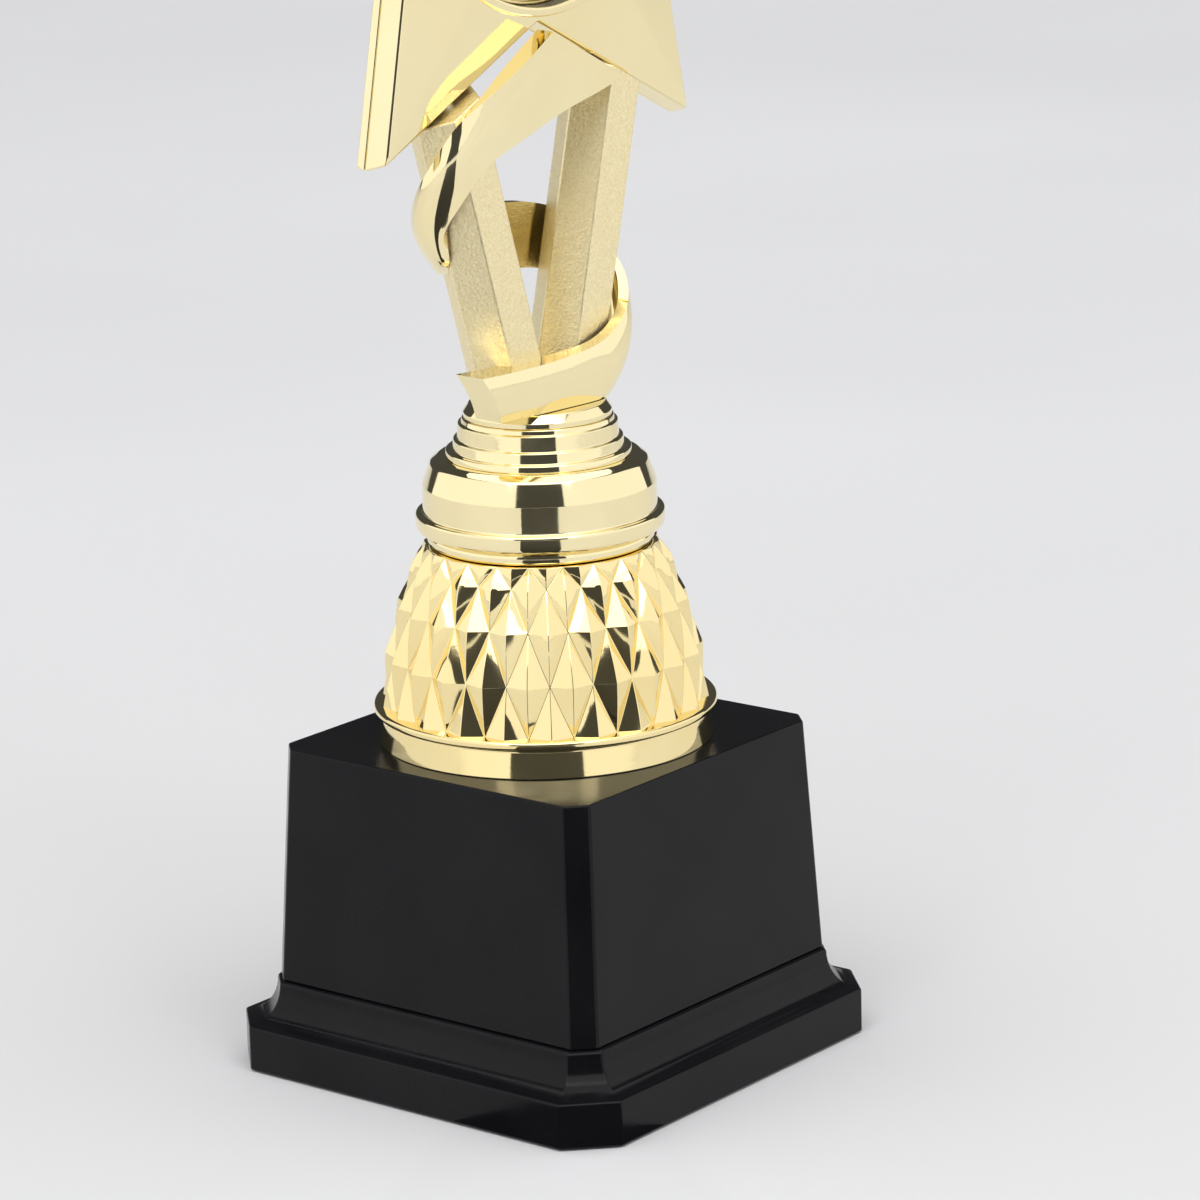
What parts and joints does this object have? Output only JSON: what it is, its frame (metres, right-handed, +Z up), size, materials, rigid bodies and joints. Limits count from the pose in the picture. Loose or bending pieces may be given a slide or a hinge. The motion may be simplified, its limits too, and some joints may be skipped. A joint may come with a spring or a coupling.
{
  "type": "star trophy",
  "caption": "Table trophy: square black base, gold patterned riser, leaning columns inside a winding ribbon, and a star with a round centre insert.",
  "frame": {"origin": "middle of the underside, on the table plane", "axes": "+Z up, front of the base and of the star towards -Y"},
  "size_m": [0.1135, 0.08, 0.2616],
  "materials": {
    "base_black": "satin moulded black",
    "gold_polished": "bright gold metal plating",
    "gold_sand": "gold metal plating over a fine sand texture",
    "hardware": "zinc plated",
    "brass_insert": "turned",
    "felt": "black felt and foam",
    "ballast": "as cast",
    "insert_print": "satin blank disc",
    "clear_dome": "clear resin"
  },
  "bodies": {
    "root": {"felt_pad": "felt", "bottom_cover": "base_black", "cover_screws": "hardware", "plinth": "base_black", "base_block": "base_black", "base_weight": "ballast", "tie_rod": "hardware", "clamp_nut": "hardware", "lock_washer": "hardware", "clamp_washer": "hardware", "riser_dome": "gold_polished", "neck_ring": "gold_polished", "riser_collar": "gold_polished", "stepped_hub": "gold_polished", "figure_foot": "gold_polished", "thread_insert": "brass_insert", "column_screws": "hardware", "left_column": "gold_sand", "right_column": "gold_sand", "ribbon": "gold_polished", "star_dowels": "hardware", "star_front": "gold_polished", "star_back": "gold_polished", "star_screws": "hardware", "bezel": "gold_polished", "insert_backing": "felt", "centre_insert": "insert_print", "insert_dome": "clear_dome"}
  },
  "joints": []
}
